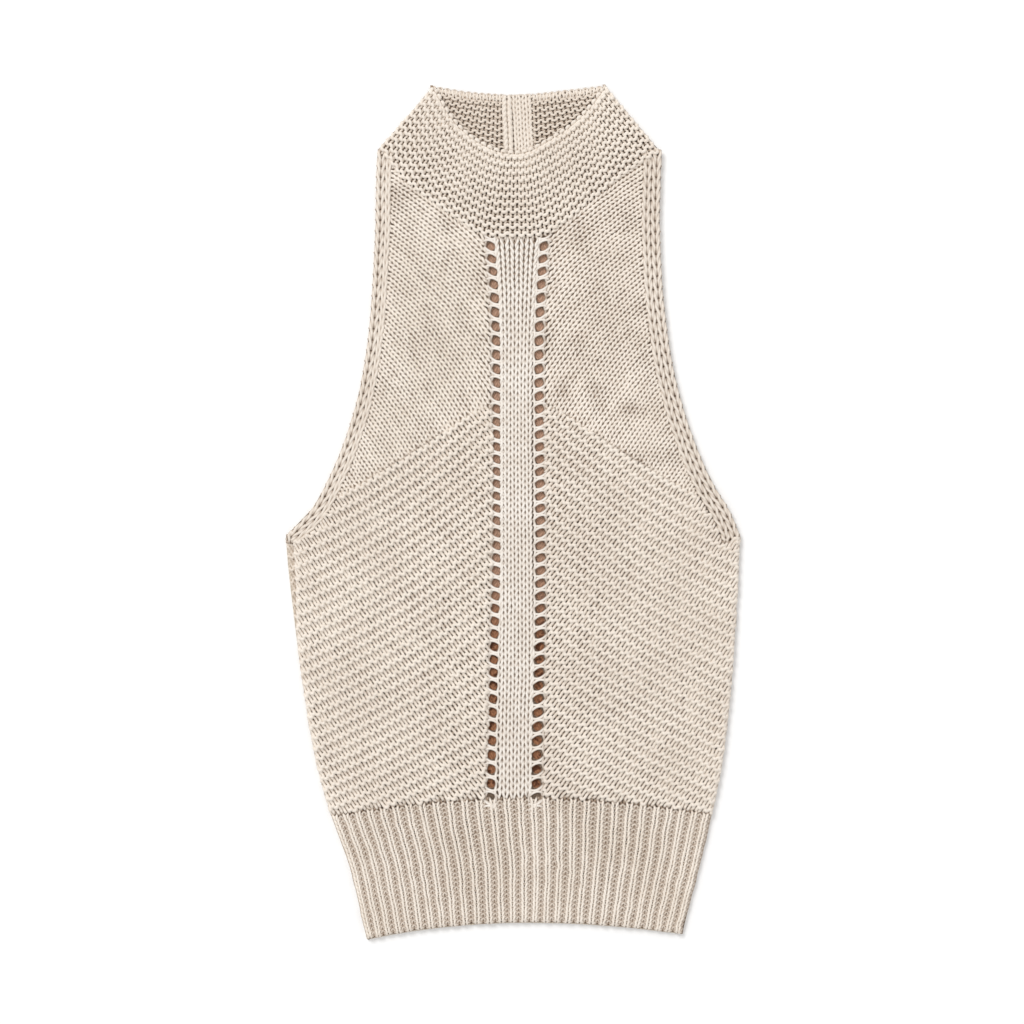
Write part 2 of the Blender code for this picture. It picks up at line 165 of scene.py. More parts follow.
STITCH = (5.5, 3.7)         # a back stitch's width and height
# Painted shade on the back's inside: dark blotches for its lower middle, and a lighter tan to
# either side of the eyelets.
LOW_BLOTCH = (0.13, 0.045, 0.018)
SIDE_SHADE_TONE = (0.66, 0.56, 0.45)


def cloth_finish(name, tone, shade, low_shade_tone=None):
    """Flat knit in low relief: small V stitches, their legs lighter in the middle and darker
    between them as painted shade. The tones given are painted shade for the sheets that lie under
    the raised yarn. The low shade tone is painted shade for the lower middle, where the back is
    seen through the eyelets: darker towards the bottom, with dark blotches, and a lighter painted
    shade to either side."""
    f = Finish(name)
    where, x, y, z = place_of(f)
    side = abs((x / (STITCH[0] * MM)).fract() - 0.5) * 2.0
    up = y / (STITCH[1] * MM)
    leg = abs((up - side * 0.9).fract() - 0.5) * 2.0
    swell = (1.0 - leg * leg) * (1.0 - abs(side - 0.5) * 1.6)
    fibre = f.noise(where, 900.0, 3.0, 0.6)
    cloud = f.noise(where, 28.0, 2.0)
    colour = f.mix(cloud.clear(0.3, 0.7), (*tone, 1), (*shade, 1))
    if low_shade_tone:
        blotch = f.noise(where, 230.0, 2.0).clear(0.48, 0.62)
        deep = f.mix(blotch, (*low_shade_tone, 1), (*LOW_BLOTCH, 1))
        colour = f.mix((y * -1.0).clear(0.02, 0.10), colour, deep)
        colour = f.mix(abs(x).clear(0.035, 0.05), colour, (*SIDE_SHADE_TONE, 1))
    # Painted shade: each V stitch is darkened between its legs and towards its sides, where its
    # low relief would lie in shade.
    colour = f.tint(colour, swell * 0.35 + fibre * 0.2 + 0.62)
    f.join(f.shader.inputs["Base Color"], colour)
    f.shader.inputs["Roughness"].default_value = 0.92
    bump = f.node("ShaderNodeBump", None, Height=swell + fibre * 0.25, Strength=0.8,
                  Distance=0.0008)
    f.join(f.shader.inputs["Normal"], bump.outputs[0])
    return f.material


WELD = 1e-6                 # a solid's loose triangles are merged within this, in metres
SHARP = 1.2                 # angle between faces, from which an edge is softened
FLAT = 0.02                 # and up to which faces are taken as one
UPWARD = 0.5                # a face that looks up less than this shows the outside's colour


def cut_cloth(name, node, share, material, soft=0.0, joined=()):
    """A thin sheet on a solid's form: the solid's height times a share. Its edges are softened,
    or drawn in under the yarn wherever no piece is joined on."""
    cloth = bmesh.new()
    cloth.from_mesh(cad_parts[node].data)
    bmesh.ops.remove_doubles(cloth, verts=cloth.verts, dist=WELD)
    floor = min(v.co.z for v in cloth.verts)
    for v in cloth.verts:
        v.co.z = floor + (v.co.z - floor) * share
    bmesh.ops.dissolve_limit(cloth, angle_limit=FLAT, verts=cloth.verts, edges=cloth.edges)
    if soft:
        rim = [e for e in cloth.edges if e.calc_face_angle(0.0) > SHARP]
        bmesh.ops.bevel(cloth, geom=rim, offset=soft * MM, segments=2, profile=0.5,
                        affect="EDGES", material=-1, clamp_overlap=True)
    if joined:
        x = np.array([v.co.x for v in cloth.verts]) / MM
        y = np.array([v.co.y for v in cloth.verts]) / MM + MIDDLE
        x, y, _, _ = lay_out(node, x, y, 0 * x, joined, turn=0.01, inset=1.3)
        for v, at_x, at_y in zip(cloth.verts, x, y):
            v.co.x, v.co.y = at_x * MM, (at_y - MIDDLE) * MM
    bmesh.ops.triangulate(cloth, faces=cloth.faces)
    bmesh.ops.recalc_face_normals(cloth, faces=cloth.faces)
    mesh = bpy.data.meshes.new(name)
    cloth.to_mesh(mesh)
    cloth.free()
    mesh.materials.append(material)
    # Faces that look up keep the sheet's own finish, which is painted shade for the sheets under
    # the yarn; the side walls show the outside's cream.
    mesh.materials.append(OUTSIDE)
    for face in mesh.polygons:
        face.material_index = int(face.normal.z < UPWARD)
    piece = bpy.data.objects.new(name, mesh)
    bpy.context.collection.objects.link(piece)
    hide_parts(node)
    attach(piece, "root")
    return piece


def outline(node):
    """The outer edge line of a solid's flat underside, anticlockwise, in millimetres."""
    body = bmesh.new()
    body.from_mesh(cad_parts[node].data)
    bmesh.ops.remove_doubles(body, verts=body.verts, dist=WELD)
    floor = min(v.co.z for v in body.verts)
    under = {f for f in body.faces if all(v.co.z < floor + WELD for v in f.verts)}
    rim = [e for e in body.edges if sum(f in under for f in e.link_faces) == 1]
    links = {}
    for e in rim:
        for v in e.verts:
            links.setdefault(v.index, []).append(e.other_vert(v).index)
    points = {v.index: (v.co.x / MM, v.co.y / MM + MIDDLE) for v in body.verts}
    loops, left = [], set(links)
    while left:
        start = min(left)
        loop, at, before = [start], start, None
        while True:
            following = [i for i in links[at] if i != before]
            before, at = at, following[0]
            if at == start:
                break
            loop.append(at)
        left -= set(loop)
        loop = np.array([points[i] for i in loop])
        ahead = np.roll(loop, -1, 0)
        turning = (loop[:, 0] * ahead[:, 1] - loop[:, 1] * ahead[:, 0]).sum()
        loops.append(loop if turning > 0 else loop[::-1])
    body.free()
    return max(loops, key=len)


def edges_of(node):
    """The edges of a piece's outline, (n, 2, 2)."""
    return np.stack([OUTLINES[node], np.roll(OUTLINES[node], -1, 0)], 1)


def within(edges, x, y):
    """Which points lie inside an outline: an odd number of its edges lies to their right."""
    odd = np.zeros(np.shape(x), bool)
    for (ax, ay), (bx, by) in edges:
        if ay != by:
            odd ^= ((ay > y) != (by > y)) & (x < (bx - ax) * (y - ay) / (by - ay) + ax)
    return odd


FAR = 1e9
SHORTEST = 1e-9             # keeps an edge without length from dividing by nothing
SEAM = 1.5                  # an edge is joined on where a neighbour's lies within this
FADE = 3.0                  # a turned edge fades out over this length past its end
ROUND_BY = 1.4              # stitches up to this far past a free edge are turned round it
CORNER = 0.5                # and at a corner this much farther


def distance(edges, x, y):
    """How far points lie from the nearest of some edges."""
    best = np.full(np.shape(x), FAR)
    for (ax, ay), (bx, by) in edges:
        run = np.hypot(bx - ax, by - ay) or SHORTEST
        t = np.clip(((x - ax) * (bx - ax) + (y - ay) * (by - ay)) / run ** 2, 0, 1)
        best = np.minimum(best, np.hypot(x - ax - t * (bx - ax), y - ay - t * (by - ay)))
    return best


def lay_out(node, x, y, z, neighbours, turn=2.3, inset=0.9, over=1.2):
    """Fit stitches to a piece: a little way over the edges where a neighbour is joined on, and
    round the free ones on a quarter turn, down the side of the cloth. Gives x, y, z and which
    points are kept."""
    edges = edges_of(node)
    beside = np.concatenate([edges_of(n) for n in neighbours if n != node])
    joined = distance(beside, *edges.mean(1).T) <= SEAM
    keep = within(edges, x, y) | (distance(edges[joined], x, y) < over)
    free = edges[~joined]
    if not len(free):
        return x, y, z, keep
    best = np.full(x.shape, FAR)
    foot_x, foot_y, out_x, out_y, past = (np.zeros(x.shape) for _ in range(5))
    for (ax, ay), (bx, by) in free:
        run = np.hypot(bx - ax, by - ay) or SHORTEST
        tx, ty = (bx - ax) / run, (by - ay) / run
        along = (x - ax) * tx + (y - ay) * ty
        held = np.clip(along, 0, run)
        near = np.hypot(x - ax - tx * held, y - ay - ty * held)
        closer = near < best
        best = np.where(closer, near, best)
        foot_x, foot_y = (np.where(closer, ax + tx * held, foot_x),
                          np.where(closer, ay + ty * held, foot_y))
        out_x, out_y = np.where(closer, ty, out_x), np.where(closer, -tx, out_y)
        past = np.where(closer, np.abs(along - held), past)
    inward = (foot_x - x) * out_x + (foot_y - y) * out_y
    full = turn + inset
    share = np.clip(1 - past / FADE, 0, 1) * (best < full + FADE)
    bend = np.clip((full - inward) / turn, 0, math.pi / 2)
    at = np.where(inward < full, full - turn * np.sin(bend), inward)
    x, y = x + out_x * (inward - at) * share, y + out_y * (inward - at) * share
    z = z - share * turn * (1 - np.cos(bend)) * (inward < full)
    return x, y, z, keep | (inward > -ROUND_BY) & (inward < 0) & (best < ROUND_BY + CORNER)


OUTLINES = {node: outline(node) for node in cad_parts}
FRONT = [n for n in OUTLINES if n.startswith("front_")] + ["collar_front"]
BACK_SHARE = 0.9            # the back is as thick as its solids, but for this share
BACK_SOFT = 0.8             # width of its rounded edges

# Painted shade: the back's inside lies under the front, so its sheet is a warm brown where it is
# seen through the eyelets, darker towards the bottom.
INSIDE = cloth_finish("knit_inside_shade", (0.60, 0.37, 0.26), (0.54, 0.33, 0.225),
                      low_shade_tone=(0.40, 0.18, 0.09))
# Painted shade: the sheet under the front's yarn is a near-black brown, standing in for the shade
# between the stitches.
UNDER = cloth_finish("knit_under_yarn_painted_shade", (0.20, 0.14, 0.095), (0.16, 0.11, 0.075))
OUTSIDE = cloth_finish("knit_back_outside", (0.80, 0.71, 0.60), (0.72, 0.62, 0.50))

back_panel = cut_cloth("back_panel_knit", "back_panel", BACK_SHARE, INSIDE, BACK_SOFT)

# The back's ribbed hem and its two armhole bands. They are knitted like the front's, in the same
# cotton, and are left plain, because the front covers all but their edges.
back_rib = cut_cloth("back_hem_rib_knit", "back_hem_rib", BACK_SHARE, OUTSIDE, BACK_SOFT)
back_bands = {word: cut_cloth(f"back_armhole_band_{word}_knit", f"back_armhole_band_{word}",
                              BACK_SHARE, OUTSIDE, BACK_SOFT)
              for word in ("left", "right")}

# The yarn. A course of stitches is one length of round cotton yarn that runs across the piece in
# loops: heads reach up behind the next course, feet reach down behind the one below, and where a
# stitch is purled they lie in front instead.
STEPS = 10                  # straight parts to a loop
YARN = 2.0                  # thickness
TUCK = 0.8                  # how far a cut course dips at its ends


def wander(x, y, seed, size, amount):
    """A smooth unevenness over the cloth, the same each time."""
    grid = np.random.default_rng(seed).normal(size=(256, 256))
    gx, gy = np.asarray(x) / size + 100.0, np.asarray(y) / size + 100.0
    ix, iy = np.floor(gx).astype(int), np.floor(gy).astype(int)
    fx, fy = gx - ix, gy - iy
    fx, fy = fx * fx * (3 - 2 * fx), fy * fy * (3 - 2 * fy)
    ix, iy = ix % 255, iy % 255
    low = grid[iy, ix] * (1 - fx) + grid[iy, ix + 1] * fx
    high = grid[iy + 1, ix] * (1 - fx) + grid[iy + 1, ix + 1] * fx
    return (low * (1 - fy) + high * fy) * amount


def unsettle(x, y, seed, amount, size=5.0):
    """Places moved a little to and fro over the cloth, as in a knit that was worn and washed."""
    return x + wander(x, y, seed, size, amount), y + wander(x, y, seed + 1, size, amount)


def plain_side(wale, line):
    """Every stitch knitted."""
    return np.ones(np.broadcast(wale, line).shape)


def purl_side(wale, line):
    """Every stitch purled."""
    return -plain_side(wale, line)


def garter_side(wale, line):
    """Each second line of stitches purled, which raises a ridge there."""
    return np.where(np.broadcast_to(line, np.broadcast(wale, line).shape) % 2 == 1, -1.0, 1.0)


def rib_side(wale, line):
    """Each second wale purled, which sinks it."""
    return np.where(np.broadcast_to(wale, np.broadcast(wale, line).shape) % 2 == 1, -1.0, 1.0)


def loops_of(rows, wales, side, lean, tall, depth=1.5, steps=STEPS):
    """Courses as arrays: place across in wales, place up in rows, and height over the legs. The
    lean draws a loop's foot in, tall is its reach in rows, and depth its swing in height."""
    t = np.arange(int(wales[0] * steps), int(wales[1] * steps) + 1) * (2 * math.pi / steps)
    t = t[None, :]
    row = np.arange(rows[0], rows[1])[:, None]
    across = t / (2 * math.pi) + lean * np.sin(2 * t)
    up = row + 0.5 + tall * np.cos(t)
    here = np.floor(t / (2 * math.pi) + 0.5).astype(int)
    left = np.floor(t / (2 * math.pi)).astype(int)
    head = side(here, row + 1)
    foot_left, foot_right = side(left, row), side(left + 1, row)
    foot = (foot_left + foot_right) / 2 + (foot_left - foot_right) / 2 * np.sin(t)
    face = np.where(np.cos(t) > 0, head, foot)
    return np.broadcast_to(across, up.shape), up, -depth * face * np.cos(t) ** 2


def cut_runs(x, y, z, keep, swell=None, level=None):
    """The parts of each course that lie on the piece, tucked in at either end. A point holds its
    place, its share of the yarn's thickness and how far a fold at an edge has lowered it."""
    swell = np.ones(x.shape) if swell is None else swell
    drop = np.zeros(x.shape) if level is None else level - z
    runs = []
    for r in range(len(x)):
        marks = np.flatnonzero(np.diff(np.r_[0, keep[r].astype(int), 0]))
        for start, end in zip(marks[::2], marks[1::2]):
            if end - start > 4:
                run = np.stack([part[r, start:end] for part in (x, y, z, swell, drop)], 1)
                run[0, 2] -= TUCK
                run[-1, 2] -= TUCK
                runs.append(run)
    return runs


def lay_yarn(name, runs, thickness, material, seed=1):
    """Lay yarn along each run of points, as one piece of six-sided tubes with closed ends."""
    line = bpy.data.curves.new(name, "CURVE")
    line.dimensions = "3D"
    line.bevel_depth = thickness / 2 * MM
    line.bevel_resolution = 1
    for run in runs:
        spline = line.splines.new("POLY")
        spline.points.add(len(run) - 1)
        spot = np.ones((len(run), 4), np.float32)
        spot[:, 0], spot[:, 1] = run[:, 0] * MM, (run[:, 1] - MIDDLE) * MM
        spot[:, 2] = np.maximum(run[:, 2], thickness / 2 + 0.1) * MM
        spline.points.foreach_set("co", spot.ravel())
        swell = 1.0 + wander(run[:, 0], run[:, 1], seed + 7, 2.3, 0.05)
        if run.shape[1] > 3:
            swell *= run[:, 3]
        spline.points.foreach_set("radius", swell.astype(np.float32))
    holder = bpy.data.objects.new(name + "_line", line)
    mesh = bpy.data.meshes.new_from_object(holder)
    mesh.name = name
    # A fold's drop is kept on the mesh, so the painted shade between the stitches goes by the
    # yarn's height before the fold.
    drops = np.concatenate([run[:, 4] if run.shape[1] > 4 else 0 * run[:, 0] for run in runs])
    drops = np.repeat(drops, len(mesh.vertices) // len(drops)) * MM
    lowered = mesh.attributes.new("drop", "FLOAT", "POINT")
    lowered.data.foreach_set("value", drops.astype(np.float32))
    tubes = bmesh.new()
    tubes.from_mesh(mesh)
    bmesh.ops.holes_fill(tubes, edges=[e for e in tubes.edges if e.is_boundary])
    bmesh.ops.recalc_face_normals(tubes, faces=tubes.faces)
    tubes.to_mesh(mesh)
    tubes.free()
    bpy.data.objects.remove(holder)
    bpy.data.curves.remove(line)
    mesh.materials.clear()
    mesh.materials.append(material)
    piece = bpy.data.objects.new(name, mesh)
    bpy.context.collection.objects.link(piece)
    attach(piece, "root")
    return piece


SHADE_BETWEEN_STITCHES = (0.30, 0.205, 0.135)


def yarn_finish(name, light, plain, deep, low, high):
    """Matt cotton yarn: fine fibres, slow changes of tone over the piece, and painted shade where
    it lies deep between the stitches: a dark brown below one height, fading out by another, in
    millimetres."""
    f = Finish(name)
    where, x, y, z = place_of(f)
    cloud = f.noise(where, 22.0, 3.0)
    stitch = f.noise(where, 240.0, 2.0)
    fibre = f.noise(where, 1500.0, 3.0, 0.65)
    colour = f.mix(cloud.clear(0.35, 0.65), (*light, 1), (*plain, 1))
    colour = f.mix(stitch.clear(0.45, 0.75) * 0.5, colour, (*deep, 1))
    drop = f.signal(f.node("ShaderNodeAttribute", {"attribute_name": "drop"}), "Fac")
    # Painted shade: below the low height the yarn turns a dark brown, as if in shade deep between
    # the stitches; a fold's drop is added back so yarn lowered at an edge is not darkened.
    colour = f.mix((z + drop).clear(low * MM, high * MM), (*SHADE_BETWEEN_STITCHES, 1), colour)
    colour = f.tint(colour, fibre * 0.22 + 0.89)
    f.join(f.shader.inputs["Base Color"], colour)
    f.join(f.shader.inputs["Roughness"], fibre * 0.15 + 0.8)
    f.shader.inputs["Sheen Weight"].default_value = 0.15
    f.shader.inputs["Sheen Roughness"].default_value = 0.5
    bump = f.node("ShaderNodeBump", None, Height=fibre, Strength=0.55, Distance=0.0003)
    f.join(f.shader.inputs["Normal"], bump.outputs[0])
    return f.material


# The yarn's light, plain and deep tones: cream in the yokes and the rib; a darker copy of it,
# painted shade where the ridges shade one another, which the collar and the bands use too; a
# lighter copy, painted light, in the smooth centre; and a still darker copy, painted shade, inside
# the collar and on the back's side strip.
CREAM = ((0.90, 0.82, 0.73), (0.85, 0.765, 0.67), (0.74, 0.64, 0.54))
DARKER_CREAM = ((0.855, 0.775, 0.685), (0.805, 0.72, 0.63), (0.70, 0.605, 0.51))
PAINTED_LIGHT_CREAM = ((0.91, 0.855, 0.79), (0.86, 0.795, 0.72), (0.76, 0.67, 0.58))
BACK_SHADE_CREAM = ((0.78, 0.69, 0.595), (0.74, 0.645, 0.55), (0.64, 0.54, 0.44))
COTTON = yarn_finish("cotton_yarn_cream", *CREAM, low=4.2, high=6.25)
GARTER_COTTON = yarn_finish("cotton_yarn_garter", *DARKER_CREAM, low=4.2, high=6.3)
COLLAR_COTTON = yarn_finish("cotton_yarn_collar", *DARKER_CREAM, low=4.4, high=6.3)
RIB_COTTON = yarn_finish("cotton_yarn_rib", *CREAM, low=4.3, high=6.7)
TRIM_COTTON = yarn_finish("cotton_yarn_trim", *PAINTED_LIGHT_CREAM, low=4.4, high=6.4)
EDGE_COTTON = yarn_finish("cotton_yarn_edge", *DARKER_CREAM, low=4.2, high=7.0)
BACK_COTTON = yarn_finish("cotton_yarn_back", *BACK_SHADE_CREAM, low=1.4, high=3.8)
BAND_COTTON = yarn_finish("cotton_yarn_opening", *DARKER_CREAM, low=1.4, high=3.9)


def smooth(table, at, column):
    """A column's value on a smooth curve through a table's rows."""
    rows = np.array(table, float)
    keys, values = rows[:, 0], rows[:, column]
    if keys[0] > keys[-1]:
        keys, values = keys[::-1], values[::-1]
    slope = np.empty(len(keys))
    slope[1:-1] = (values[2:] - values[:-2]) / (keys[2:] - keys[:-2])
    slope[0] = (values[1] - values[0]) / (keys[1] - keys[0])
    slope[-1] = (values[-1] - values[-2]) / (keys[-1] - keys[-2])
    at = np.asarray(at, float)
    i = np.clip(np.searchsorted(keys, at) - 1, 0, len(keys) - 2)
    span = keys[i + 1] - keys[i]
    u = (at - keys[i]) / span
    a, b = values[i], values[i + 1]
    ra, rb = slope[i] * span, slope[i + 1] * span
    return a + u * (ra + u * (3 * (b - a) - 2 * ra - rb + u * (ra + rb - 2 * (b - a))))


# The centre panel: four and a half wales of plain knit between two ladders of yarn-over eyelets,
# in the same cotton as the panels beside it. There is an eyelet to each second row, and a bar of
# two crossed strands parts it from the next.
EYELET_AT = (
    # height, left ladder, right ladder
    (95.0, 16.2, 16.2), (103.0, 16.0, 16.4), (170.0, 14.4, 18.2), (230.0, 13.0, 19.6),
    (280.0, 11.6, 19.8), (380.0, 11.5, 19.0), (430.0, 11.8, 18.7), (470.0, 13.5, 20.2),
    (512.0, 17.0, 23.0),
)
EYELET_ROWS = ((-16, 654.0), (0, 500.4), (3, 473.0), (11, 392.4), (24, 275.8), (35, 174.2),
               (41, 113.0), (54, -20.0))
EYELETS = 42                # in each ladder, counted from the top
HOLES = (
    # height, half an eyelet's width, left and right
    (95.0, 2.7, 3.9), (200.0, 2.7, 3.8), (330.0, 2.8, 3.2), (400.0, 2.9, 2.9), (512.0, 2.8, 2.8),
)
STRIP = (
    # height, left and right edge of the plain knit
    (95.0, -10.8, 13.6), (156.0, -10.1, 13.7), (200.0, -9.3, 14.6), (387.0, -9.4, 13.6),
    (430.0, -9.4, 14.4), (470.0, -10.6, 16.2), (512.0, -14.0, 19.6),
)
STRIP_WALES = 4.5
STRIP_LEVEL = 5.5           # height of the yarn's middle
STRIP_OVER = 0.25           # stitches are kept this share of a wale past either edge
LADDER_FOOT, LADDER_TOP, LADDER_STEP = 100.0, 508.0, 1.2
LADDER_GAP = 0.75           # from an eyelet's edge to the middle of the yarn beside it
LADDER_YARN = (
    # side of the eyelets, swing across, height of the yarn's middle, share of its thickness
    (-1, 0.45, 5.0, 1.0), (1, 0.6, 4.5, 1.05),
)
BAR = 10.4                  # length of a bar across a ladder
BAR_CLIMB = 2.8             # how much higher its outer end lies
BAR_WAIST, BAR_FLARE = 0.5, 9.0     # the strands' distance from its line, and how they part
BAR_LEVEL, BAR_ARCH = 4.8, 0.5

EYELET_COUNTS = np.linspace(-16, 54, 701)
EYELET_HEIGHTS = smooth(EYELET_ROWS, EYELET_COUNTS, 1)


def ladder_x(side, height):
    """Middle of a ladder of eyelets."""
    return side * smooth(EYELET_AT, height, 1 if side < 0 else 2)


def hole_half(side, height):
    """Half the width of a ladder's eyelets."""
    return smooth(HOLES, height, 1 if side < 0 else 2)


def row_height(line):
    """Height of a line between two courses, counted upwards; eyelets lie on even lines."""
    return smooth(EYELET_ROWS, -np.asarray(line, float) / 2, 1)


def line_at(height):
    """The line between courses at a height, the inverse of row_height."""
    return -2 * np.interp(-np.asarray(height), -EYELET_HEIGHTS, EYELET_COUNTS)


centre_cloth = cut_cloth("front_centre_cloth", "front_centre_panel", 0.45, UNDER, joined=FRONT)
across, up, rise = loops_of((-2 * EYELETS, 4), (-1, 6), plain_side, lean=0.25, tall=1.0)
y = row_height(up)
x = smooth(STRIP, y, 1) + (smooth(STRIP, y, 2) - smooth(STRIP, y, 1)) * across / STRIP_WALES
level = STRIP_LEVEL + rise
x, y, z, keep = lay_out("front_centre_panel", x, y, level, FRONT, over=2.2)
keep = keep & (across > -STRIP_OVER) & (across < STRIP_WALES + STRIP_OVER)
x, y = unsettle(x, y, seed=3, amount=0.12)
runs = cut_runs(x, y, z, keep, level=level)
for side in (-1, 1):
    y = np.arange(LADDER_FOOT, LADDER_TOP, LADDER_STEP)
    beat = np.cos(line_at(y) * math.pi)
    half = hole_half(side, y)
    for edge, swing, middle, share in LADDER_YARN:
        out = half + LADDER_GAP + swing * beat
        runs.append(np.stack([ladder_x(side, y) + edge * side * out, y, middle - 0.3 * beat,
                              np.full(len(y), share)], 1))
    for n in range(-1, EYELETS + 1):
        low = float(row_height(-2 * n - 1))
        along = np.linspace(-0.5, 0.5, 9)
        for strand in (-1, 1):
            part = strand * (BAR_WAIST + BAR_FLARE * along ** 2)
            runs.append(np.stack([float(ladder_x(side, low)) + side * along * BAR,
                                  low + along * BAR_CLIMB + part,
                                  BAR_LEVEL + BAR_ARCH * np.cos(math.pi * along),
                                  np.ones(len(along))], 1))
# The centre's yarn is the lighter copy of the cream: painted light.
centre_yarn = lay_yarn("front_centre_yarn", runs, YARN, TRIM_COTTON)

# The two garter side panels and the two plain yokes above them. They are one knit on courses
# that climb to the centre, made wider at the centre panel's edges; each second row is purled
# below the yokes, which raises the ridges.
YOKE_FOOT = 387.0           # where a yoke begins beside the centre panel
LADDER_HALF = 5.5
INNER = {side: abs(float(ladder_x(side, YOKE_FOOT))) + LADDER_HALF for side in (-1, 1)}
NUDGE = 0.1                 # step by which the slopes of wales and courses are measured
STRIDE = 60.0               # longest step towards a stitch's place
PANEL_LEVEL = 5.4           # height of the yarn's middle
RIDGE_SWELL = 0.22          # how much thicker the yarn is where a stitch stands out
NEAR_LADDER = 8.0           # an edge within this of a ladder's middle runs beside it
PAST_EYELET = (0.4, 5.0)    # and stitches between these distances past an eyelet are kept
GARTER_LOOP = (0.10, 0.80, 1.3)     # lean, reach and depth of a loop
YOKE_LOOP = (0.25, 1.0, 1.8)


def side_stitches(side, node, wale_at, course_at, *shape):
    """Place and height of every stitch whose course and wale cross a side piece."""

    def where(x, y):
        d = side * x - INNER[side]
        return wale_at(d, y), course_at(d, y)

    edge = OUTLINES[node]
    w, r = where(edge[:, 0], edge[:, 1])
    across, up, rise = loops_of((int(r.min()) - 2, int(r.max()) + 2),
                                (int(w.min()) - 3, int(w.max()) + 3), *shape)
    x = np.full(across.shape, edge[:, 0].mean())
    y = np.full(across.shape, edge[:, 1].mean())
    for _ in range(12):
        w0, r0 = where(x, y)
        wx, rx = where(x + NUDGE, y)
        wy, ry = where(x, y + NUDGE)
        a, b, c, d = ((part - start) / NUDGE
                      for part, start in ((wx, w0), (wy, w0), (rx, r0), (ry, r0)))
        det = a * d - b * c
        ew, er = across - w0, up - r0
        x = x + np.clip((d * ew - b * er) / det, -STRIDE, STRIDE)
        y = y + np.clip((a * er - c * ew) / det, -STRIDE, STRIDE)
    return x, y, rise


def side_panel(side, node, cloth_share, seed, thickness, material, over, *stitches):
    """Knit one side panel or yoke on sloping courses, cut to its solid's outline and carried on
    to the edges of the eyelets beside it."""
    cloth = cut_cloth(node + "_cloth", node, cloth_share, UNDER, joined=FRONT)
    x, y, rise = side_stitches(side, node, *stitches)
    level = PANEL_LEVEL + rise + wander(x, y, seed + 2, size=12.0, amount=0.15)
    x, y, z, keep = lay_out(node, x, y, level, FRONT, over=over)
    edge = OUTLINES[node]
    beside = edge[side * (edge[:, 0] - ladder_x(side, edge[:, 1])) < NEAR_LADDER, 1]
    past = side * (x - ladder_x(side, y)) - hole_half(side, y)
    keep = keep | ((past > PAST_EYELET[0]) & (past < PAST_EYELET[1])
                   & (y > beside.min()) & (y < beside.max()))
    x, y = unsettle(x, y, seed, amount=0.22)
    runs = cut_runs(x, y, z, keep, 1 + RIDGE_SWELL * np.maximum(rise, 0), level)
    return cloth, lay_yarn(node + "_yarn", runs, thickness, material, seed=seed)


def garter_wale(d, y):
    """Number of the wale at a distance out from the centre panel and a height."""
    return -(0.1389 * d + 0.000135 * d * d) + 0.1083 * y


def garter_course(d, y):
    """Number of the course there; the numbers are a fit to the rows of ridges."""
    d, y = d / 50, (y - 230) / 100
    return 2 * (d * (3.84 - 0.175 * d - 0.0125 * d * d) + d * y * (0.769 - 0.21 * d - 0.13 * y)
                + y * (10.9 + 0.028 * y * y))


def yoke_wale(d, y):
    """The same for a yoke, which has finer stitches."""
    d, y = d / 50, (y - 400) / 100
    return d * (0.194 * d - 7.64) + 1.404 * d * y + y * (9.77 + 1.22 * y)


def yoke_course(d, y):
    d, y = d / 50, (y - 400) / 100
    return d * (7.1 + 0.941 * d) + d * y * (0.102 + 0.673 * d) + y * (19.82 - 1.229 * y)


for word, side in (("left", -1), ("right", 1)):
    cloth, yarn = side_panel(side, f"front_garter_{word}", 0.35, 20 + side, 2.25, GARTER_COTTON,
                             1.0, garter_wale, garter_course, garter_side, *GARTER_LOOP)
    cloth, yarn = side_panel(side, f"front_yoke_{word}", 0.45, 40 + side, YARN, COTTON,
                             1.9, yoke_wale, yoke_course, plain_side, *YOKE_LOOP)

# At the left side the wider back shows past the front, in the same garter stitch. Only the strip
# that shows is knitted in raised yarn, from above the rib to the armhole.
SIDE_STRIP = (-140.0, 175.0, 297.0)     # its inner edge, its foot and its top
SIDE_LEVEL = 2.4
WELL_INSIDE = 3.0


def covered_by(node, x, y):
    """Which points lie well inside a piece that is laid over them."""
    return within(edges_of(node), x, y) & (distance(edges_of(node), x, y) > WELL_INSIDE)


x, y, rise = side_stitches(-1, "back_panel", garter_wale, garter_course, garter_side,
                           0.1, 0.8, 1.0)
level = SIDE_LEVEL + rise
x, y, z, keep = lay_out("back_panel", x, y, level, ["back_hem_rib"], turn=1.5)
keep = keep & ~covered_by("front_garter_left", x, y)
keep = keep & (x < SIDE_STRIP[0]) & (y > SIDE_STRIP[1]) & (y < SIDE_STRIP[2])
back_yarn = lay_yarn("back_left_side_yarn", cut_runs(x, y, z, keep, level=level), YARN,
                     BACK_COTTON)

# The ribbed hem: 29 ribs, each a raised knitted wale beside a sunk purled one. They are closest
# at the sides, where the hem turns round, and fan with the shape of the body.
BODY_EDGE = (
    # height, left, right
    (0.0, 105.5, 121.0), (29.0, 112.0, 128.5), (58.0, 119.5, 136.0), (90.0, 131.5, 143.5),
    (130.0, 142.5, 151.5), (188.0, 152.3, 158.0), (245.0, 159.6, 161.8), (274.0, 162.8, 163.2),
    (291.5, 164.0, 164.0),
)
RIBS = 29
RIB_ROWS = 27
KNIT_SHARE = 0.64           # of a rib's width; the purled wale has the rest
RIB_SHIFT = 0.06            # a rib's start, moved to the right by this share of it
RIB_LEVEL = 4.9
RIB_SWELL = 1.5             # how far a knitted wale is raised, and a purled one sunk
RIB_YARN = 1.8
RIB_PITCH = ((0.0, 10.9), (0.1, 12.2), (0.36, 13.9), (0.55, 12.2), (0.74, 13.8), (0.9, 12.2),
             (1.0, 10.9))
HEM_CENTRE = 9.0


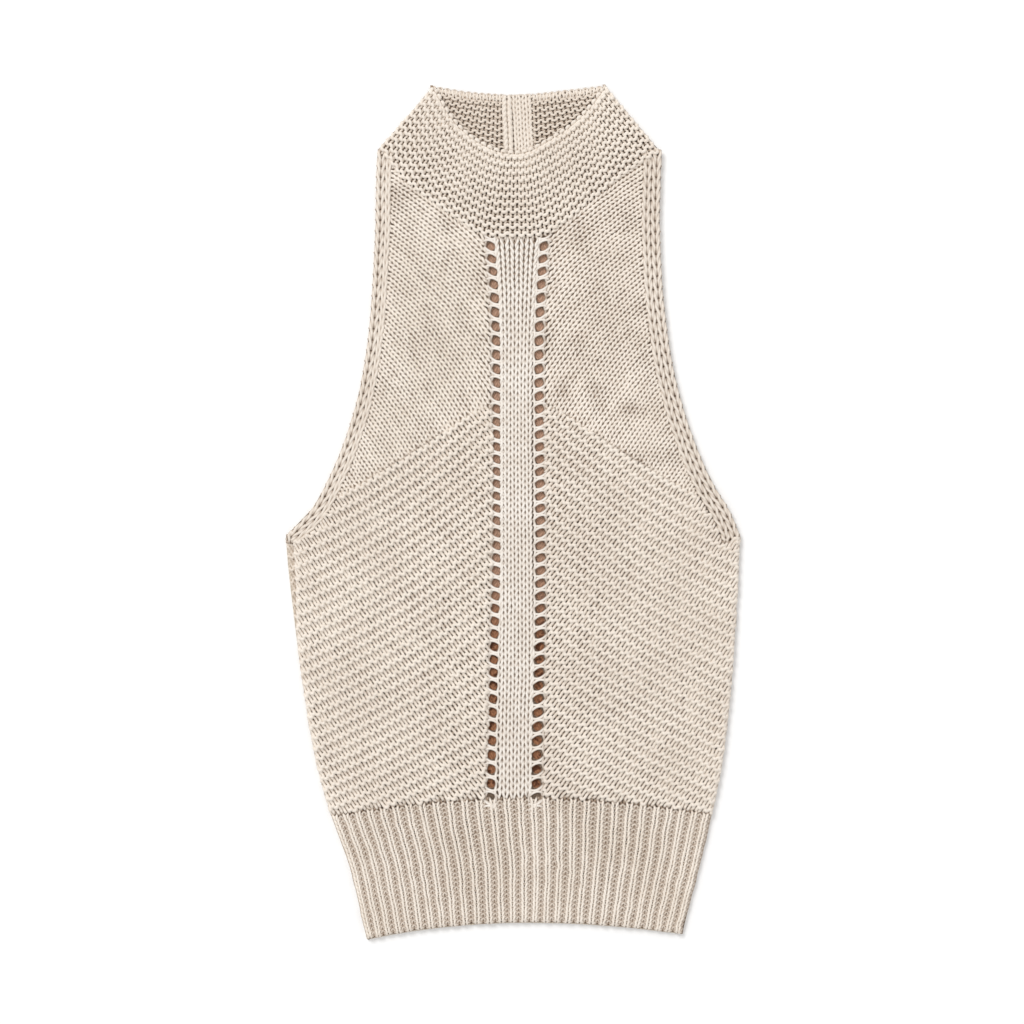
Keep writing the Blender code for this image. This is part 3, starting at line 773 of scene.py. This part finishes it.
def hem_height(x):
    """The hem's shallow arch, which falls lowest at the left corner."""
    return 12.2 - np.where(x < HEM_CENTRE, 12.2, 8.4) * ((x - HEM_CENTRE) / 114.5) ** 2


def rib_seam_height(x):
    """The seam where the rib meets the body."""
    return 103.3 - 0.00065 * (x - HEM_CENTRE) ** 2


RIB_SHARES = np.linspace(0, 1, 201)
RIB_WIDTHS = np.cumsum(np.r_[0, np.interp(RIB_SHARES[1:], *zip(*RIB_PITCH))])


def rib_place(across, up):
    """Place of the hem's stitches, with the knitted wales wider than the purled ones."""
    rib, local = np.divmod(across + 0.5, 2)
    within_rib = np.where(local < 1, KNIT_SHARE * local,
                          KNIT_SHARE + (1 - KNIT_SHARE) * (local - 1))
    share = (rib + within_rib + RIB_SHIFT) / RIBS
    share = (np.interp(share, RIB_SHARES, RIB_WIDTHS / RIB_WIDTHS[-1])
             + np.minimum(share, 0) + np.maximum(share - 1, 0))
    height = 50.0 + 0 * up
    for _ in range(6):
        left = -smooth(BODY_EDGE, np.maximum(height, 0), 1)
        x = left + (smooth(BODY_EDGE, np.maximum(height, 0), 2) - left) * share
        height = hem_height(x) + (rib_seam_height(x) - hem_height(x)) * up / RIB_ROWS
    return x, height


hem_cloth = cut_cloth("front_hem_rib_cloth", "front_hem_rib", 0.3, UNDER, joined=FRONT)
across, up, rise = loops_of((-2, RIB_ROWS + 1), (-2.5, 2 * RIBS + 1.5), rib_side, lean=0.26,
                            tall=0.95, steps=8)
x, y = rib_place(across, up)
level = RIB_LEVEL + RIB_SWELL * np.cos(math.pi * across) + rise
x, y, z, keep = lay_out("front_hem_rib", x, y, level, FRONT)
x, y = unsettle(x, y, seed=61, amount=0.25, size=6.0)
hem_yarn = lay_yarn("front_hem_rib_yarn", cut_runs(x, y, z, keep, level=level), RIB_YARN,
                    RIB_COTTON)

# The collar's front: a tall garter band knitted on from the seam up, eleven ridges high. Its
# stitches fan out from the neck to the seam, and it ends in a bound-off course at the neck.
COLLAR_ROWS = 22
COLLAR_WALES = 38
COLLAR_LEVEL = 5.4
COLLAR_SWELL = 0.28
COLLAR_YARN = 1.98
NECK_LOOPS = 30
NECK_LEVEL, STRAND_LEVEL = 4.9, 4.8     # of the loops, and of the plain strand beside them
NECK_YARN = 2.2
COLLAR_FAN = (
    # share across, neck x, neck height, seam x, seam height
    (0.0, -57.6, 615.6, -97.2, 571.0), (0.125, -47.2, 596.9, -78.5, 547.1),
    (0.25, -33.6, 581.3, -53.9, 528.4), (0.375, -16.3, 571.0, -28.6, 511.0),
    (0.4375, -6.6, 568.0, -14.0, 506.6), (0.5, 3.5, 567.3, 3.0, 506.2),
    (0.5625, 12.8, 569.6, 18.0, 506.8), (0.625, 21.9, 574.3, 32.5, 513.1),
    (0.75, 39.0, 585.1, 56.3, 532.4), (0.875, 54.2, 598.9, 80.6, 551.4),
    (1.0, 67.0, 616.0, 107.3, 568.0),
)


def fan_place(fan, across, up):
    """Place on a collar, by shares across it and up from its seam to the neck."""
    nx, ny, sx, sy = (smooth(fan, across, column) for column in (1, 2, 3, 4))
    return sx + (nx - sx) * up, sy + (ny - sy) * up


collar_cloth = cut_cloth("collar_front_cloth", "collar_front", 0.35, UNDER, joined=FRONT)
across, up, rise = loops_of((-1, COLLAR_ROWS + 1), (-1, COLLAR_WALES + 1), garter_side,
                            lean=0.14, tall=0.88, depth=1.4)
x, y = fan_place(COLLAR_FAN, across / COLLAR_WALES, up / COLLAR_ROWS)
level = COLLAR_LEVEL + rise + wander(x, y, seed=73, size=12.0, amount=0.15)
x, y, z, keep = lay_out("collar_front", x, y, level, FRONT, over=1.8)
x, y = unsettle(x, y, seed=71, amount=0.2)
runs = cut_runs(x, y, z, keep, 1 + COLLAR_SWELL * np.maximum(rise, 0), level)
collar_yarn = lay_yarn("collar_front_yarn", runs, COLLAR_YARN, COLLAR_COTTON)

across, up, rise = loops_of((0, 1), (0, NECK_LOOPS), purl_side, lean=0.1, tall=0.8)
share = 0.02 + 0.96 * across / NECK_LOOPS
x, y = fan_place(COLLAR_FAN, share, 0.99 + 0.03 * (up - 0.5))
knots = np.stack([x[0], y[0], NECK_LEVEL + 0.8 * rise[0], 1 + 0.2 * rise[0]], 1)
x, y = fan_place(COLLAR_FAN, share, 0.975)
plain = np.ones(x.shape[1])
strand = np.stack([x[0], y[0], STRAND_LEVEL * plain, plain], 1)
neck_yarn = lay_yarn("collar_neck_edge", [knots, strand], NECK_YARN, COLLAR_COTTON)

# The collar's back, seen from inside through the neck opening: the same band in finer garter,
# left open at the middle, with a course of short upright stitches along its edge.
BACK_ROWS = 30
BACK_WALES = 10
BACK_LEVEL = 2.3
BACK_YARN = 1.8
EDGE_PITCH = 5.2            # one upright stitch to each of these along the edge
EDGE_LEVEL = 3.4
EDGE_BELOW = 2.6            # middle of those stitches, below the neck's line
EDGE_TALL = 4.0
BACK_FAN = {
    "left": ((0.0, -57.6, 615.6, -97.2, 571.0), (0.5, -32.0, 611.4, -52.0, 552.5),
             (1.0, -8.2, 609.6, -8.2, 542.0)),
    "right": ((0.0, 13.8, 609.8, 13.8, 542.0), (0.5, 40.0, 612.8, 60.0, 552.5),
              (1.0, 67.0, 616.0, 107.3, 568.0)),
}
for word, fan in BACK_FAN.items():
    cloth = cut_cloth(f"collar_back_{word}_cloth", f"collar_back_{word}", 0.5, UNDER)
    across, up, rise = loops_of((-1, BACK_ROWS + 1), (-1, BACK_WALES + 1), garter_side,
                                lean=0.19, tall=0.95, depth=1.1)
    x, y = fan_place(fan, across / BACK_WALES, up / BACK_ROWS)
    level = BACK_LEVEL + rise
    x, y, z, keep = lay_out(f"collar_back_{word}", x, y, level, [f"opening_band_{word}"],
                            turn=1.2, over=2.6)
    keep = keep & ~covered_by("collar_front", x, y)
    x, y = unsettle(x, y, seed=91, amount=0.2)
    yarn = lay_yarn(f"collar_back_{word}_yarn", cut_runs(x, y, z, keep, level=level), BACK_YARN,
                    BACK_COTTON)
    edge = [fan_place(fan, share, 0.97) for share in np.linspace(0.0, 1.0, 30)]
    count = round(float(np.hypot(*np.diff(np.array(edge), axis=0).T).sum()) / EDGE_PITCH)
    across, up, rise = loops_of((0, 1), (0, count), plain_side, lean=0.2, tall=0.7)
    x, y = fan_place(fan, across / count, 1.0)
    y = y - EDGE_BELOW + EDGE_TALL * (up - 0.5)
    stitches = np.stack([x[0], y[0], EDGE_LEVEL + rise[0]], 1)
    edge_yarn = lay_yarn(f"collar_back_{word}_edge", [stitches], BACK_YARN, BAND_COTTON)

# The opening's two bands: plain knit on end, picked up along the collar's two back ends. One is a
# single thick chain, the other three wales wide, and they meet at a slit.
OPENING = {"left": ((-3.3, 541.0), (-3.1, 572.0), (-4.0, 590.0), (-4.4, 609.0)),
           "right": ((8.2, 541.0), (8.0, 572.0), (7.0, 590.0), (6.1, 609.5))}
OPENING_PITCH = 3.9
OPENING_LEVEL = 3.3
OPENING_BANDS = (
    # word, width, flat width, the wales' edges as shares, whether the loops hang, yarn
    ("left", 7.4, 0.0105, (-0.5, 0.5), True, 2.6),
    ("right", 13.6, 0.0138, (-0.5, -0.19, 0.15, 0.5), False, 1.9),
)


AHEAD = 2.0                 # the path's direction is taken over this length either way


def ribbon(path, width, pitch, edges, level, lean=0.25, depth=1.3, flip=False):
    """Wales of plain knit that follow a path: each wale lies between two of the edges."""
    path = np.array(path, float)
    run = np.r_[0, np.cumsum(np.hypot(*np.diff(path, axis=0).T))]
    rows = max(1, round(run[-1] / pitch))
    wales = len(edges) - 1
    across, up, rise = loops_of((0, rows), (-0.5, wales - 0.5), plain_side, lean, tall=0.95,
                                depth=depth)
    s = np.clip((rows - up if flip else up) / rows, 0, 1) * run[-1]
    x, y = np.interp(s, run, path[:, 0]), np.interp(s, run, path[:, 1])
    ahead, rising = (np.interp(s + AHEAD, run, line) - np.interp(s - AHEAD, run, line)
                     for line in path.T)
    length = np.hypot(ahead, rising)
    off = np.interp(across + 0.5, range(wales + 1), edges) * width
    off = off + (across + 0.5 - np.clip(across + 0.5, 0, wales)) * 3
    x, y = x + off * rising / length, y - off * ahead / length
    x, y = unsettle(x, y, seed=81, amount=0.15)
    return [np.stack(row, 1) for row in zip(x, y, level + rise)]


for word, width, flat_width, edges, flip, thickness in OPENING_BANDS:
    cloth = cut_cloth(f"opening_band_{word}_cloth", f"opening_band_{word}", 0.7, UNDER)
    runs = ribbon(OPENING[word], width, OPENING_PITCH, edges, OPENING_LEVEL, flip=flip)
    yarn = lay_yarn(f"opening_band_{word}_yarn", runs, thickness, BAND_COTTON)

# The armhole bands: thick slipped chains along the armholes' edges, two wales wide. Each band is
# half of one that runs on round the back, where its plain half lies underneath.
ARMHOLE = (
    # height, left, right
    (291.5, 164.0, 164.0), (311.0, 144.8, 155.4), (332.0, 133.2, 142.6), (361.0, 121.0, 130.3),
    (389.5, 112.3, 121.0), (418.0, 106.6, 114.5), (447.0, 103.0, 110.2), (476.0, 101.0, 107.3),
    (515.0, 99.0, 105.8), (548.0, 98.5, 106.4), (575.0, 97.2, 107.6),
)
UNDERARM = 291.5
WIDEST = 163.4              # the band's yarn stays within this at the underarm
CHAIN_PITCH = 7.8
CHAIN_LEVEL = 5.7
CHAIN_YARN = 2.3
for word, side, width, edges in (("left", -1, 10.5, (0.0, 0.62, 1.0)),
                                 ("right", 1, 13.0, (0.0, 0.52, 1.0))):
    cloth = cut_cloth(f"front_armhole_band_{word}_cloth", f"front_armhole_band_{word}", 0.4,
                      UNDER)
    path = []
    for height in np.linspace(UNDERARM - 4.0, 569.0, 60):
        reach = float(smooth(ARMHOLE, max(height, UNDERARM), 1 if side < 0 else 2))
        path.append((side * min(WIDEST, reach), height))
    runs = ribbon(path, -side * width, CHAIN_PITCH, edges, CHAIN_LEVEL, lean=0.26, depth=1.5)
    yarn = lay_yarn(f"front_armhole_band_{word}_yarn", runs, CHAIN_YARN, EDGE_COTTON)

# Where it is photographed: on a pale floor in soft light, seen from straight above. The floor lies
# a hair under the cloth, and one wide lamp stands at the upper left.
floor = bmesh.new()
bmesh.ops.create_grid(floor, x_segments=1, y_segments=1, size=3.0)
bmesh.ops.translate(floor, verts=floor.verts, vec=(0, 0, -0.0002))
floor_mesh = bpy.data.meshes.new("floor")
floor.to_mesh(floor_mesh)
floor.free()
pale = bpy.data.materials.new("floor_pale")
pale.use_nodes = True
pale.node_tree.nodes["Principled BSDF"].inputs["Base Color"].default_value = (0.95, 0.95, 0.95, 1)
pale.node_tree.nodes["Principled BSDF"].inputs["Roughness"].default_value = 0.9
floor_mesh.materials.append(pale)
floor_piece = bpy.data.objects.new("floor", floor_mesh)
bpy.context.collection.objects.link(floor_piece)
floor_piece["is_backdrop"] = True

world = bpy.data.worlds.new("studio")
world.use_nodes = True
world.node_tree.nodes["Background"].inputs["Color"].default_value = (1, 1, 1, 1)
world.node_tree.nodes["Background"].inputs["Strength"].default_value = 0.79
bpy.context.scene.world = world
lamp = bpy.data.lights.new("softbox", "AREA")
lamp.shape = "DISK"
lamp.size = 1.9
lamp.energy = 108
lamp_piece = bpy.data.objects.new("softbox", lamp)
lamp_piece.location = (-1.8, 2.4, 3.8)
lamp_piece.rotation_euler = Vector((1.8, -2.4, -3.8)).to_track_quat("-Z", "Y").to_euler()
bpy.context.collection.objects.link(lamp_piece)

lens = bpy.data.cameras.new("overhead")
lens.lens = 85
lens.sensor_width = 36
lens.clip_end = 20
camera = bpy.data.objects.new("overhead", lens)
camera.location = (-0.0007, 0.0009, 1.747)
bpy.context.collection.objects.link(camera)
bpy.context.scene.camera = camera
bpy.context.scene.view_settings.view_transform = "Standard"

low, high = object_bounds()
